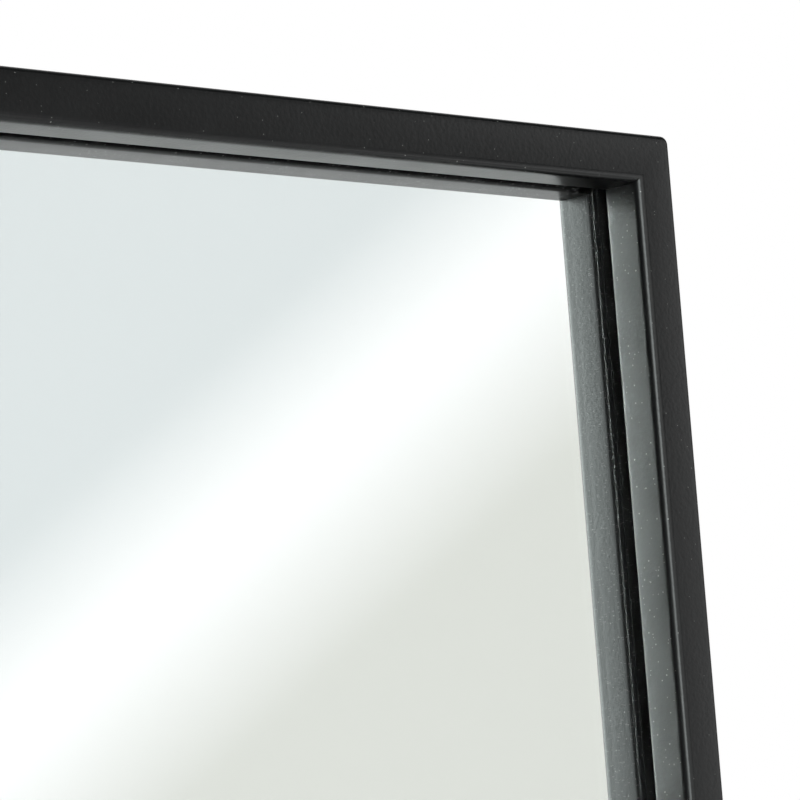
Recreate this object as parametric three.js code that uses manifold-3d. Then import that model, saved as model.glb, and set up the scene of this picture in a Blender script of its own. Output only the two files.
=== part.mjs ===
// Leaning floor mirror: a welded square-tube frame with the glass held behind it.
// Millimetres, +Z up. The mirror faces -Y, X runs across it. The origin is on the floor,
// under the middle of the object.
import * as THREE from 'three';
import { mergeVertices } from 'three/addons/utils/BufferGeometryUtils.js';
import Module from 'manifold-3d';

const wasm = await Module();
wasm.setup();

// ---------------------------------------------------------------- driving dimensions
const FRAME_WIDTH = 700;
const FRAME_HEIGHT = 1700;
const TUBE = 20; // square steel tube, across and deep
const TUBE_WALL = 1.5;
const TUBE_RADIUS = 2; // the tube's rounded long edges
const CORNER_RADIUS = 3.5; // frame corners, ground after welding
const GAP = 0.3; // between pieces that touch
const BAR_INSET = 3; // the rebate bars stand this far inside the tube's outer face
const BAR_THICKNESS = 2;
const BAR_HEIGHT = 16;
const WELD_LEG = 2.4;
const WELD_LENGTH = 26;
const WELDS_PER_SIDE_BAR = 6;
const WELDS_PER_CROSS_BAR = 3;
const TAPE_THICKNESS = 0.5;
const TAPE_WIDTH = 9;
const TAPE_INSET = 3.5; // from the rebate bar's inner face
const GLASS_THICKNESS = 4;
const GLASS_CLEARANCE = 0.8; // all round, inside the bars
const GLASS_ARRIS = 0.6;
const GLASS_CORNER = 2;
const FILM_THICKNESS = 0.4;
const FILM_MARGIN = 1;
const BOARD_THICKNESS = 9;
const BOARD_CORNER = 3;
const SCREWS_PER_SIDE = 5;
const SCREWS_PER_CROSS = 3;
const SCREW_END_DISTANCE = 70; // first and last screw, from the frame's outer corner
const SCREW_SHANK_RADIUS = 1.5;
const SCREW_SHANK_LENGTH = 16;
const SCREW_HEAD_RADIUS = 2.8;
const SCREW_HEAD_HEIGHT = 2;
const HANGER_WIDTH = 18;
const HANGER_HEIGHT = 50;
const HANGER_THICKNESS = 1.5;
const HANGER_SPACING = 480; // between the two hangers' middles
const HANGER_DROP = 150; // hanger's middle, below the frame's top
const KEYHOLE_RADIUS = 5;
const KEYHOLE_SLOT_RADIUS = 2.6;
const KEYHOLE_RISE = 11; // from the round hole's middle up to the slot's end
const HEAD_POCKET_DEPTH = 4; // room behind the plate for the wall screw's head
const HANGER_SCREW_OFFSET = 19; // from the plate's middle, up and down
const HANGER_SCREW_RADIUS = 1.4;
const HANGER_SCREW_HEAD = 2.9;
const HANGER_SCREW_LENGTH = 5.5;
const BUMPER_RADIUS = 8;
const BUMPER_HEIGHT = 4;
const BUMPER_INSET = 34; // from the frame's outer faces to the bumper's middle
const PAD_LENGTH = 60;
const PAD_FRONT = 7.5; // from the tube's front face back to the pad
const PAD_HEIGHT = 2.7; // under the tube; it steps up by BAR_INSET under the rebate bar
const PAD_LIP = 2; // thickness of the lip behind the rebate bar
const PAD_LIP_RISE = 6; // from the bar's outer face up to the lip's top
const PAD_CORNER = 5;
const PAD_EDGE = 0.5; // chamfer round the foot and the top
const PAD_SPACING = 440;

// ---------------------------------------------------------------- worked-out dimensions
const REBATE_FRONT = TUBE + GAP; // depths are measured back from the tube's front face
const TAPE_FRONT = REBATE_FRONT;
const GLASS_FRONT = TAPE_FRONT + TAPE_THICKNESS + GAP;
const FILM_FRONT = GLASS_FRONT + GLASS_THICKNESS + GAP;
const BOARD_FRONT = FILM_FRONT + FILM_THICKNESS + GAP;
const BOARD_BACK = BOARD_FRONT + BOARD_THICKNESS;
const TOTAL_DEPTH = BOARD_BACK + GAP + BUMPER_HEIGHT;
const BAR_SINK = BAR_INSET + BAR_THICKNESS; // the bar's inner face, inside the outer face
const GLASS_INSET = BAR_SINK + GLASS_CLEARANCE;
const GLASS_WIDTH = FRAME_WIDTH - 2 * GLASS_INSET;
const GLASS_HEIGHT = FRAME_HEIGHT - 2 * GLASS_INSET;
const FRAME_BOTTOM = PAD_HEIGHT + GAP;
const FRAME_TOP = FRAME_BOTTOM + FRAME_HEIGHT;
const FRAME_MIDDLE = FRAME_BOTTOM + FRAME_HEIGHT / 2;
const SCREW_DEPTH = BOARD_FRONT + BOARD_THICKNESS / 2;
const BAR_BACK = REBATE_FRONT + BAR_HEIGHT;
const ROUND_STEPS = 12;
const EDGE_STEPS = 5;
const QUARTER = Math.PI / 2;

// ---------------------------------------------------------------- materials
function finish(color, roughness, metalness) {
  return new THREE.MeshStandardMaterial({ color, roughness, metalness });
}
const BLACK_COAT = () => finish(0x232324, 0.45, 0.2);
const SILVERED_GLASS = () => finish(0xdfe6e6, 0.03, 0.9);
const SILVER_FILM = () => finish(0xb9bcbe, 0.25, 0.8);
const FIBREBOARD = () => finish(0x8a6b4b, 0.85, 0);
const FOAM_TAPE = () => finish(0x101011, 0.9, 0);
const ZINC_SCREW = () => finish(0xa9adb2, 0.35, 0.9);
const BRIGHT_STEEL = () => finish(0xb4b6b9, 0.4, 0.9);
const SOFT_RUBBER = () => finish(0x1a1a1b, 0.8, 0);

// ---------------------------------------------------------------- solids and cuts
function toSolid(geometry) {
  const bare = geometry.clone();
  bare.deleteAttribute('normal');
  bare.deleteAttribute('uv');
  const merged = mergeVertices(bare, 1e-4);
  const vertProperties = new Float32Array(merged.attributes.position.array);
  const triVerts = new Uint32Array(merged.index.array);
  return new wasm.Manifold(new wasm.Mesh({ numProp: 3, vertProperties, triVerts }));
}

function toGeometry(solid) {
  const mesh = solid.getMesh();
  const geometry = new THREE.BufferGeometry();
  geometry.setAttribute('position', new THREE.BufferAttribute(mesh.vertProperties, 3));
  geometry.setIndex(new THREE.BufferAttribute(mesh.triVerts, 1));
  const faceted = geometry.toNonIndexed();
  faceted.computeVertexNormals();
  return faceted;
}

function cut(geometry, tools) {
  let solid = toSolid(geometry);
  for (const tool of tools) {
    solid = solid.subtract(toSolid(tool));
  }
  return toGeometry(solid);
}

function join(geometry, additions) {
  let solid = toSolid(geometry);
  for (const addition of additions) {
    solid = solid.add(toSolid(addition));
  }
  return toGeometry(solid);
}

function common(geometry, limits) {
  let solid = toSolid(geometry);
  for (const limit of limits) {
    solid = solid.intersect(toSolid(limit));
  }
  return toGeometry(solid);
}

function roundedRectangle(width, height, radius, Outline = THREE.Shape) {
  const x = width / 2 - radius;
  const y = height / 2 - radius;
  const outline = new Outline();
  outline.absarc(x, y, radius, 0, QUARTER, false);
  outline.absarc(-x, y, radius, QUARTER, 2 * QUARTER, false);
  outline.absarc(-x, -y, radius, 2 * QUARTER, 3 * QUARTER, false);
  outline.absarc(x, -y, radius, 3 * QUARTER, 4 * QUARTER, false);
  outline.closePath();
  return outline;
}

function extrude(shape, depth, steps = EDGE_STEPS) {
  return new THREE.ExtrudeGeometry(shape, { depth, bevelEnabled: false, curveSegments: steps });
}

// An outline drawn across (x) and up (y), stood upright so that its thickness runs back
// from a front face at the given depth.
function uprightPlate(shape, front, thickness, chamfer = 0, steps = EDGE_STEPS) {
  const geometry = new THREE.ExtrudeGeometry(shape, {
    depth: thickness - 2 * chamfer,
    bevelEnabled: chamfer > 0,
    bevelThickness: chamfer,
    bevelSize: chamfer,
    bevelOffset: -chamfer,
    bevelSegments: 1,
    curveSegments: steps,
  });
  geometry.rotateX(QUARTER);
  geometry.translate(0, front + thickness - chamfer, 0);
  return geometry;
}

function rod(radius, length, steps = ROUND_STEPS) {
  return new THREE.CylinderGeometry(radius, radius, length, steps);
}

// ---------------------------------------------------------------- frame members
// Each member is made lying along X with its outer face up at z = 0 and its front at
// depth 0. The four places below turn it about the depth axis onto its side of the frame.
const SIDES = {
  top: { turn: 0, x: 0, z: FRAME_TOP },
  right: { turn: QUARTER, x: FRAME_WIDTH / 2, z: FRAME_MIDDLE },
  bottom: { turn: 2 * QUARTER, x: 0, z: FRAME_BOTTOM },
  left: { turn: 3 * QUARTER, x: -FRAME_WIDTH / 2, z: FRAME_MIDDLE },
};

function onSide(mesh, side) {
  const place = SIDES[side];
  mesh.rotation.y = place.turn;
  mesh.position.set(place.x, 0, place.z);
  return mesh;
}

function isUpright(side) {
  return side === 'left' || side === 'right';
}

// The mitre: a wedge that narrows at 45 degrees from the outer face to the inner face.
function mitreWedge(length) {
  const beyond = 2;
  const back = GAP * Math.SQRT1_2;
  const outer = length / 2 + beyond - back;
  const inner = length / 2 - TUBE - beyond - back;
  const outline = new THREE.Shape();
  outline.moveTo(-outer, beyond);
  outline.lineTo(-inner, -TUBE - beyond);
  outline.lineTo(inner, -TUBE - beyond);
  outline.lineTo(outer, beyond);
  outline.closePath();
  return uprightPlate(outline, -beyond, TUBE + 2 * beyond);
}

// The rounding of the frame's outer corners.
function groundCorners(length) {
  const reach = 2 * TUBE;
  const block = uprightPlate(roundedRectangle(length, reach, CORNER_RADIUS), -1, TUBE + 2);
  block.translate(0, 0, -reach / 2);
  return block;
}

function frameTube(length) {
  const section = roundedRectangle(TUBE, TUBE, TUBE_RADIUS);
  const bore = TUBE - 2 * TUBE_WALL;
  section.holes.push(roundedRectangle(bore, bore, TUBE_RADIUS - TUBE_WALL, THREE.Path));
  const tube = extrude(section, length);
  tube.translate(0, 0, -length / 2);
  tube.rotateY(QUARTER);
  tube.translate(0, TUBE / 2, -TUBE / 2);
  return common(tube, [mitreWedge(length), groundCorners(length)]);
}

// Evenly spaced stations along a member, the first and last a set distance from its ends.
function stations(count, length, endDistance) {
  const span = length - 2 * endDistance;
  return Array.from({ length: count }, (_, i) => -span / 2 + (i * span) / (count - 1));
}

// A stitch weld in the corner between a rebate bar and the tube's rear face.
function stitchWeld(x) {
  const outline = new THREE.Shape();
  outline.moveTo(-0.5, 0);
  outline.lineTo(WELD_LEG, 0);
  outline.quadraticCurveTo(WELD_LEG * 0.45, WELD_LEG * 0.45, 0, WELD_LEG);
  outline.lineTo(-0.5, WELD_LEG);
  outline.closePath();
  const bead = extrude(outline, WELD_LENGTH, 3);
  // The outline's x becomes up (out of the bar), its y becomes depth.
  bead.applyMatrix4(new THREE.Matrix4().set(
    0, 0, 1, x - WELD_LENGTH / 2,
    0, 1, 0, REBATE_FRONT,
    1, 0, 0, -BAR_INSET,
    0, 0, 0, 1,
  ));
  // That swap of axes mirrors the bead, so its faces are turned to point out again.
  const corners = bead.attributes.position;
  for (let i = 0; i < corners.count; i += 3) {
    const second = new THREE.Vector3().fromBufferAttribute(corners, i + 1);
    const third = new THREE.Vector3().fromBufferAttribute(corners, i + 2);
    corners.setXYZ(i + 1, third.x, third.y, third.z);
    corners.setXYZ(i + 2, second.x, second.y, second.z);
  }
  return bead;
}

function rebateBar(side) {
  const upright = isUpright(side);
  const frameLength = upright ? FRAME_HEIGHT : FRAME_WIDTH;
  const length = frameLength - 2 * (upright ? BAR_INSET : BAR_SINK + GAP);
  const screws = upright ? SCREWS_PER_SIDE : SCREWS_PER_CROSS;
  const welds = upright ? WELDS_PER_SIDE_BAR : WELDS_PER_CROSS_BAR;
  const bar = new THREE.BoxGeometry(length, BAR_HEIGHT, BAR_THICKNESS);
  bar.translate(0, REBATE_FRONT + BAR_HEIGHT / 2, -BAR_INSET - BAR_THICKNESS / 2);
  const welded = join(bar, stations(welds, length, 1.5 * WELD_LENGTH).map(stitchWeld));
  const holes = stations(screws, frameLength, SCREW_END_DISTANCE).map((x) => {
    const hole = rod(SCREW_SHANK_RADIUS + GAP, 4 * BAR_THICKNESS);
    hole.rotateX(QUARTER);
    hole.translate(x, SCREW_DEPTH, -BAR_INSET - BAR_THICKNESS / 2);
    return hole;
  });
  return cut(welded, holes);
}

function tapeStrip(side) {
  const upright = isUpright(side);
  const inset = BAR_SINK + TAPE_INSET;
  const frameLength = upright ? FRAME_HEIGHT : FRAME_WIDTH;
  const length = frameLength - 2 * (upright ? inset : inset + TAPE_WIDTH + GAP);
  const strip = new THREE.BoxGeometry(length, TAPE_THICKNESS, TAPE_WIDTH);
  strip.translate(0, TAPE_FRONT + TAPE_THICKNESS / 2, -inset - TAPE_WIDTH / 2);
  return strip;
}

// ---------------------------------------------------------------- screws
// A pan head screw, its axis along +Z with the underside of the head at z = 0.
function panScrew() {
  const crown = 0.35 * SCREW_HEAD_HEIGHT;
  const profile = [
    new THREE.Vector2(0, -SCREW_SHANK_LENGTH),
    new THREE.Vector2(SCREW_SHANK_RADIUS, -SCREW_SHANK_LENGTH + 2 * SCREW_SHANK_RADIUS),
    new THREE.Vector2(SCREW_SHANK_RADIUS, 0),
    new THREE.Vector2(SCREW_HEAD_RADIUS, 0),
    new THREE.Vector2(SCREW_HEAD_RADIUS, SCREW_HEAD_HEIGHT - 2 * crown),
    new THREE.Vector2(SCREW_HEAD_RADIUS * 0.78, SCREW_HEAD_HEIGHT - 0.5 * crown),
    new THREE.Vector2(0, SCREW_HEAD_HEIGHT),
  ];
  const screw = new THREE.LatheGeometry(profile, ROUND_STEPS);
  screw.rotateX(QUARTER);
  return screw;
}

// A countersunk screw, its axis along the depth with the flat of its head at depth 0.
function countersunkScrew() {
  const headDepth = HANGER_SCREW_HEAD - HANGER_SCREW_RADIUS;
  const profile = [
    new THREE.Vector2(0, -HANGER_SCREW_LENGTH),
    new THREE.Vector2(HANGER_SCREW_RADIUS, -HANGER_SCREW_LENGTH + HANGER_SCREW_RADIUS),
    new THREE.Vector2(HANGER_SCREW_RADIUS, -headDepth),
    new THREE.Vector2(HANGER_SCREW_HEAD, 0),
    new THREE.Vector2(0, 0),
  ];
  return new THREE.LatheGeometry(profile, ROUND_STEPS);
}

// The hole that takes it, the gap wider all round.
function countersink(depth) {
  const headDepth = HANGER_SCREW_HEAD - HANGER_SCREW_RADIUS;
  const profile = [
    new THREE.Vector2(0, -depth),
    new THREE.Vector2(HANGER_SCREW_RADIUS + GAP, -depth),
    new THREE.Vector2(HANGER_SCREW_RADIUS + GAP, -headDepth),
    new THREE.Vector2(HANGER_SCREW_HEAD + GAP + 1, 1),
    new THREE.Vector2(0, 1),
  ];
  return new THREE.LatheGeometry(profile, ROUND_STEPS);
}

// ---------------------------------------------------------------- hangers
const HANGER_Z = FRAME_TOP - HANGER_DROP;
const HANGER_PLACES = { left: -HANGER_SPACING / 2, right: HANGER_SPACING / 2 };
const KEYHOLE_DROP = 4; // the round hole's middle, below the plate's middle
const SCREW_ENDS = { upper: HANGER_SCREW_OFFSET, lower: -HANGER_SCREW_OFFSET };

// A round hole for the wall screw's head with a slot above it for its neck.
function keyhole(holeRadius, slotRadius, Outline) {
  const rise = KEYHOLE_RISE - KEYHOLE_DROP;
  const spread = Math.asin(slotRadius / holeRadius);
  const outline = new Outline();
  outline.absarc(0, -KEYHOLE_DROP, holeRadius, QUARTER + spread, 5 * QUARTER - spread, false);
  outline.absarc(0, rise, slotRadius, 0, 2 * QUARTER, false);
  outline.closePath();
  return outline;
}

function hangerPlate() {
  const outline = roundedRectangle(HANGER_WIDTH, HANGER_HEIGHT, HANGER_WIDTH / 2 - 0.01);
  outline.holes.push(keyhole(KEYHOLE_RADIUS, KEYHOLE_SLOT_RADIUS, THREE.Path));
  const plate = uprightPlate(outline, 0, HANGER_THICKNESS, 0, ROUND_STEPS);
  const sinks = Object.values(SCREW_ENDS).map((z) => {
    const sink = countersink(3 * HANGER_THICKNESS);
    sink.translate(0, HANGER_THICKNESS, z);
    return sink;
  });
  return cut(plate, sinks);
}

// The two-step pocket routed for a hanger: the plate's own seat, and behind it a keyhole
// shaped well, wide enough all the way up for the wall screw's head.
function hangerPocket(x) {
  const seatDepth = HANGER_THICKNESS + GAP;
  const width = HANGER_WIDTH + 2 * GAP;
  const seat = uprightPlate(
    roundedRectangle(width, HANGER_HEIGHT + 2 * GAP, width / 2 - 0.01),
    BOARD_BACK - seatDepth,
    seatDepth + 1,
  );
  const wellHeight = KEYHOLE_RISE + 2 * KEYHOLE_RADIUS;
  const well = uprightPlate(
    roundedRectangle(2 * KEYHOLE_RADIUS + 1, wellHeight, KEYHOLE_RADIUS),
    BOARD_BACK - seatDepth - HEAD_POCKET_DEPTH,
    seatDepth + HEAD_POCKET_DEPTH + 1,
  );
  well.translate(0, 0, KEYHOLE_RISE / 2 - KEYHOLE_DROP);
  const pilots = Object.values(SCREW_ENDS).map((z) => {
    const pilot = rod(HANGER_SCREW_RADIUS + GAP, 2 * HANGER_SCREW_LENGTH + 2 * GAP);
    pilot.translate(0, BOARD_BACK, z);
    return pilot;
  });
  return [seat, well, ...pilots].map((tool) => tool.translate(x, 0, HANGER_Z));
}

// ---------------------------------------------------------------- board, glass, film
// Blind holes for the frame's screws, bored into the board's edges on one side.
function edgePilots(side) {
  const upright = isUpright(side);
  const count = upright ? SCREWS_PER_SIDE : SCREWS_PER_CROSS;
  const frameLength = upright ? FRAME_HEIGHT : FRAME_WIDTH;
  const depth = SCREW_SHANK_LENGTH - BAR_SINK + BAR_INSET + GAP;
  const place = SIDES[side];
  const turned = new THREE.Matrix4().makeRotationY(place.turn);
  turned.setPosition(place.x, 0, place.z);
  return stations(count, frameLength, SCREW_END_DISTANCE).map((x) => {
    const hole = rod(SCREW_SHANK_RADIUS + GAP, 2 * depth);
    hole.rotateX(QUARTER);
    hole.translate(x, SCREW_DEPTH, -BAR_SINK);
    return hole.applyMatrix4(turned);
  });
}

function backBoard() {
  const outline = roundedRectangle(GLASS_WIDTH, GLASS_HEIGHT, BOARD_CORNER);
  const board = uprightPlate(outline, BOARD_FRONT, BOARD_THICKNESS);
  board.translate(0, 0, FRAME_MIDDLE);
  const pockets = Object.values(HANGER_PLACES).flatMap(hangerPocket);
  return cut(board, [...pockets, ...Object.keys(SIDES).flatMap(edgePilots)]);
}

function mirrorGlass() {
  const outline = roundedRectangle(GLASS_WIDTH, GLASS_HEIGHT, GLASS_CORNER);
  const glass = uprightPlate(outline, GLASS_FRONT, GLASS_THICKNESS, GLASS_ARRIS);
  return glass.translate(0, 0, FRAME_MIDDLE);
}

function silverFilm() {
  const outline = roundedRectangle(
    GLASS_WIDTH - 2 * FILM_MARGIN,
    GLASS_HEIGHT - 2 * FILM_MARGIN,
    GLASS_CORNER,
  );
  return uprightPlate(outline, FILM_FRONT, FILM_THICKNESS).translate(0, 0, FRAME_MIDDLE);
}

// ---------------------------------------------------------------- rubber pieces
// A round bumper with a flat foot: a straight side, then a quarter-round edge.
function wallBumper() {
  const edge = 0.3 * BUMPER_HEIGHT;
  const profile = [new THREE.Vector2(0, 0), new THREE.Vector2(BUMPER_RADIUS, 0)];
  for (let i = 0; i <= EDGE_STEPS; i += 1) {
    const angle = (QUARTER * i) / EDGE_STEPS;
    const out = BUMPER_RADIUS - edge + edge * Math.cos(angle);
    profile.push(new THREE.Vector2(out, BUMPER_HEIGHT - edge + edge * Math.sin(angle)));
  }
  profile.push(new THREE.Vector2(0, BUMPER_HEIGHT));
  return new THREE.LatheGeometry(profile, 2 * ROUND_STEPS);
}

// Room cut out of the pad's blank: everything between two depths, from a height upwards.
function padRoom(front, back, height) {
  const room = new THREE.BoxGeometry(2 * PAD_LENGTH, back - front, FRAME_BOTTOM + TUBE);
  return room.translate(0, (front + back) / 2, height + (FRAME_BOTTOM + TUBE) / 2);
}

// A moulded floor pad. It steps up from under the tube to under the rebate bar, and its lip
// hooks up behind the bar, over the rear lower edge that a leaning frame stands on.
function floorPad() {
  const depth = BAR_BACK + GAP + PAD_LIP - PAD_FRONT;
  const underBar = PAD_HEIGHT + BAR_INSET;
  const blank = new THREE.ExtrudeGeometry(roundedRectangle(PAD_LENGTH, depth, PAD_CORNER), {
    depth: underBar + PAD_LIP_RISE - 2 * PAD_EDGE,
    bevelThickness: PAD_EDGE,
    bevelSize: PAD_EDGE,
    bevelOffset: -PAD_EDGE,
    bevelSegments: 1,
    curveSegments: EDGE_STEPS,
  });
  blank.translate(0, PAD_FRONT + depth / 2, PAD_EDGE);
  const underTube = padRoom(0, REBATE_FRONT, PAD_HEIGHT);
  return cut(blank, [underTube, padRoom(REBATE_FRONT - 1, BAR_BACK + GAP, underBar)]);
}

// ---------------------------------------------------------------- assembly
const mirror = new THREE.Group();
mirror.name = 'leaning_floor_mirror';
mirror.position.y = -TOTAL_DEPTH / 2;

function piece(name, geometry, material) {
  const mesh = new THREE.Mesh(geometry, material);
  mesh.name = name;
  mirror.add(mesh);
  return mesh;
}

for (const side of Object.keys(SIDES)) {
  const upright = isUpright(side);
  const length = upright ? FRAME_HEIGHT : FRAME_WIDTH;
  const member = upright ? `${side}_stile` : `${side}_rail`;
  onSide(piece(member, frameTube(length), BLACK_COAT()), side);
  onSide(piece(`${side}_rebate_bar`, rebateBar(side), BLACK_COAT()), side);
  onSide(piece(`${side}_glazing_tape`, tapeStrip(side), FOAM_TAPE()), side);
}

piece('mirror_glass', mirrorGlass(), SILVERED_GLASS());
piece('silver_film', silverFilm(), SILVER_FILM());
piece('back_board', backBoard(), FIBREBOARD());

for (const side of Object.keys(SIDES)) {
  const upright = isUpright(side);
  const length = upright ? FRAME_HEIGHT : FRAME_WIDTH;
  const count = upright ? SCREWS_PER_SIDE : SCREWS_PER_CROSS;
  stations(count, length, SCREW_END_DISTANCE).forEach((x, i) => {
    const screw = panScrew();
    screw.translate(x, SCREW_DEPTH, -BAR_INSET + GAP);
    onSide(piece(`${side}_board_screw_${i + 1}`, screw, ZINC_SCREW()), side);
  });
}

for (const [side, x] of Object.entries(HANGER_PLACES)) {
  const plate = piece(`${side}_hanger_plate`, hangerPlate(), BRIGHT_STEEL());
  plate.position.set(x, BOARD_BACK - HANGER_THICKNESS, HANGER_Z);
  for (const [end, rise] of Object.entries(SCREW_ENDS)) {
    const screw = piece(`${side}_hanger_screw_${end}`, countersunkScrew(), ZINC_SCREW());
    screw.position.set(x, BOARD_BACK - GAP, HANGER_Z + rise);
  }
}

for (const [side, sign] of [['left', -1], ['right', 1]]) {
  const x = sign * (FRAME_WIDTH / 2 - BUMPER_INSET);
  const upper = piece(`${side}_upper_bumper`, wallBumper(), SOFT_RUBBER());
  upper.position.set(x, BOARD_BACK + GAP, FRAME_TOP - BUMPER_INSET);
  const lower = piece(`${side}_lower_bumper`, wallBumper(), SOFT_RUBBER());
  lower.position.set(x, BOARD_BACK + GAP, FRAME_BOTTOM + BUMPER_INSET);
  const pad = piece(`${side}_floor_pad`, floorPad(), SOFT_RUBBER());
  pad.position.x = (sign * PAD_SPACING) / 2;
}

export default mirror;
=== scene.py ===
"""Leaning floor mirror: the finish of its welded frame, glass, back board and fittings."""
import itertools
import math

import bpy
from mathutils import Matrix, Quaternion, Vector


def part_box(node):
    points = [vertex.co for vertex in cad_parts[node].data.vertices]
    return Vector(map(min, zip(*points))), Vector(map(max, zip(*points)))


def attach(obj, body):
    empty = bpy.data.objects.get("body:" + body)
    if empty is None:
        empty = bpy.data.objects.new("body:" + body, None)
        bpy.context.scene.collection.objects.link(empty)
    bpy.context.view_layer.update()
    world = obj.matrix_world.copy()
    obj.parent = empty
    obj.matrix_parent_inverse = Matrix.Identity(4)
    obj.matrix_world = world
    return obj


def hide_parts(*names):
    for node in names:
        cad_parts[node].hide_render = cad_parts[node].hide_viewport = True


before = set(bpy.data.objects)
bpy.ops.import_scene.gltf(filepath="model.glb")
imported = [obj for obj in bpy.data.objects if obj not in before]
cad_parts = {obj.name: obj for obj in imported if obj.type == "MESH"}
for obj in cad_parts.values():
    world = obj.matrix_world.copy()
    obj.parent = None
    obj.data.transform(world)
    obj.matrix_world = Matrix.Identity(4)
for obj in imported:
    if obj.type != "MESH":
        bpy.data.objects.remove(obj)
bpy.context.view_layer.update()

# ------------------------------------------------------------------ sizes, in metres
MM = 0.001
TOUCH = 0.01 * MM  # places closer than this are the same place
ROUND_OFF = 0.001 * MM  # a distance below this is none
CLEAR = 1 * MM  # how far a cutter reaches past what it cuts
GAP = 0.3 * MM  # between pieces that touch

TUBE = 20 * MM  # the width and the depth of the square tube
OUTER_EDGE_RADIUS = 1.8 * MM
FRONT_INNER_RADIUS = 3.1 * MM  # beside the glass, at the front
REAR_INNER_RADIUS = 2.3 * MM  # beside the glass, at the back
GROUND_CORNER_RADIUS = 3.5 * MM  # the frame's four corners, after grinding
FACE_CROWN = 0.24 * MM  # how far the middle of a rolled face stands proud of its edges
FACE_CUTS = 4  # lines along each face, which take its crown
EDGE_SEGMENTS = 6
CORNER_SEGMENTS = 6

# The photograph's camera, seen from the object: left of the glass's normal, a little
# below, and aimed at a point on the glass near the upper right corner.
VIEW_AZIMUTH = math.radians(-43.92)
VIEW_ELEVATION = math.radians(-7.32)
VIEW_ROLL = math.radians(4.38)
AIM_FROM_CORNER = (-142.8 * MM, 21.1 * MM, -110.5 * MM)
VIEW_DISTANCE = 1730.6 * MM
LENS_MM = 201.4
SENSOR_MM = 36
PICTURE_PIXELS = 800  # the photograph's width and height
PIXELS_PER_RADIAN = PICTURE_PIXELS * LENS_MM / SENSOR_MM


# ------------------------------------------------------------------ modelling helpers
def deselect_all():
    bpy.ops.object.select_all(action="DESELECT")


def make_active(piece):
    deselect_all()
    piece.select_set(True)
    bpy.context.view_layer.objects.active = piece


def finish_start(piece, name):
    """A new primitive gets its name, and its place goes into its mesh."""
    piece.name = name
    piece.data.name = name
    make_active(piece)
    bpy.ops.object.transform_apply(location=True, rotation=True, scale=True)
    return piece


def block(name, low, high):
    low, high = Vector(low), Vector(high)
    deselect_all()
    bpy.ops.mesh.primitive_cube_add(size=1, location=(low + high) / 2, scale=high - low)
    return finish_start(bpy.context.object, name)


def cylinder(name, centre, radius, length, axis="Z", vertices=32):
    turn = {"X": (0, math.pi / 2, 0), "Y": (math.pi / 2, 0, 0), "Z": (0, 0, 0)}[axis]
    deselect_all()
    bpy.ops.mesh.primitive_cylinder_add(
        vertices=vertices, radius=radius, depth=length, location=centre, rotation=turn
    )
    return finish_start(bpy.context.object, name)


def clear_selection(mesh):
    mesh.vertices.foreach_set("select", [False] * len(mesh.vertices))
    mesh.edges.foreach_set("select", [False] * len(mesh.edges))
    mesh.polygons.foreach_set("select", [False] * len(mesh.polygons))


def edit_faces(piece, test):
    """Opens the piece in edit mode with the faces selected whose centre and normal pass."""
    make_active(piece)
    clear_selection(piece.data)
    for face in piece.data.polygons:
        face.select = bool(test(face.center, face.normal))
    bpy.context.tool_settings.mesh_select_mode = (False, False, True)
    bpy.ops.object.mode_set(mode="EDIT")


def edit_edges(piece, test):
    """Opens the piece in edit mode with the edges selected whose two ends pass."""
    make_active(piece)
    clear_selection(piece.data)
    points = piece.data.vertices
    for edge in piece.data.edges:
        first, second = (points[v].co for v in edge.vertices)
        edge.select = bool(test(first, second))
    bpy.context.tool_settings.mesh_select_mode = (False, True, False)
    bpy.ops.object.mode_set(mode="EDIT")


def edit_points(piece, test):
    """Opens the piece in edit mode with the points selected whose place passes."""
    make_active(piece)
    clear_selection(piece.data)
    for point in piece.data.vertices:
        point.select = bool(test(point.co))
    bpy.context.tool_settings.mesh_select_mode = (True, False, False)
    bpy.ops.object.mode_set(mode="EDIT")


def close_edit():
    bpy.ops.object.mode_set(mode="OBJECT")


def near(a, b):
    return abs(a - b) < TOUCH


def lies_on(a, b, plane):
    """True for an edge in the upright plane at this depth."""
    return near(a.y, plane) and near(b.y, plane)


def is_level(a, b, height):
    """True for an edge at this height."""
    return near(a.z, height) and near(b.z, height)


def shade(piece, angle=35):
    make_active(piece)
    bpy.ops.object.shade_smooth_by_angle(angle=math.radians(angle))


def even_out_shading(piece):
    """Lets the large faces set the shading, so that only the rounded edges catch the turn."""
    make_active(piece)
    modifier = piece.modifiers.new("weighted_normals", "WEIGHTED_NORMAL")
    modifier.keep_sharp = True
    bpy.ops.object.modifier_apply(modifier=modifier.name)


def bevel_piece(piece, width, segments=3, angle=30):
    make_active(piece)
    modifier = piece.modifiers.new("soft_edges", "BEVEL")
    modifier.width = width
    modifier.segments = segments
    modifier.limit_method = "ANGLE"
    modifier.angle_limit = math.radians(angle)
    bpy.ops.object.modifier_apply(modifier=modifier.name)


def carve(piece, cutter):
    """Cuts one piece with another, and removes the cutter."""
    make_active(piece)
    modifier = piece.modifiers.new("carve", "BOOLEAN")
    modifier.operation = "DIFFERENCE"
    modifier.solver = "EXACT"
    modifier.object = cutter
    bpy.ops.object.modifier_apply(modifier=modifier.name)
    bpy.data.objects.remove(cutter)


def copy_to(piece, name, turn, place):
    """A copy with its own mesh, turned and placed in the mesh, its object at the origin."""
    twin = piece.copy()
    twin.data = piece.data.copy()
    twin.name = twin.data.name = name
    bpy.context.scene.collection.objects.link(twin)
    twin.data.transform(Matrix.Translation(place) @ turn.to_4x4())
    return twin


def hand_over(piece, material, slot, *nodes):
    """The finished piece gets its material, rides on the frame and stands for its nodes."""
    piece.data.materials.clear()
    piece.data.materials.append(material)
    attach(piece, "root")
    if nodes:
        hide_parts(*nodes)
    return piece


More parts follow.
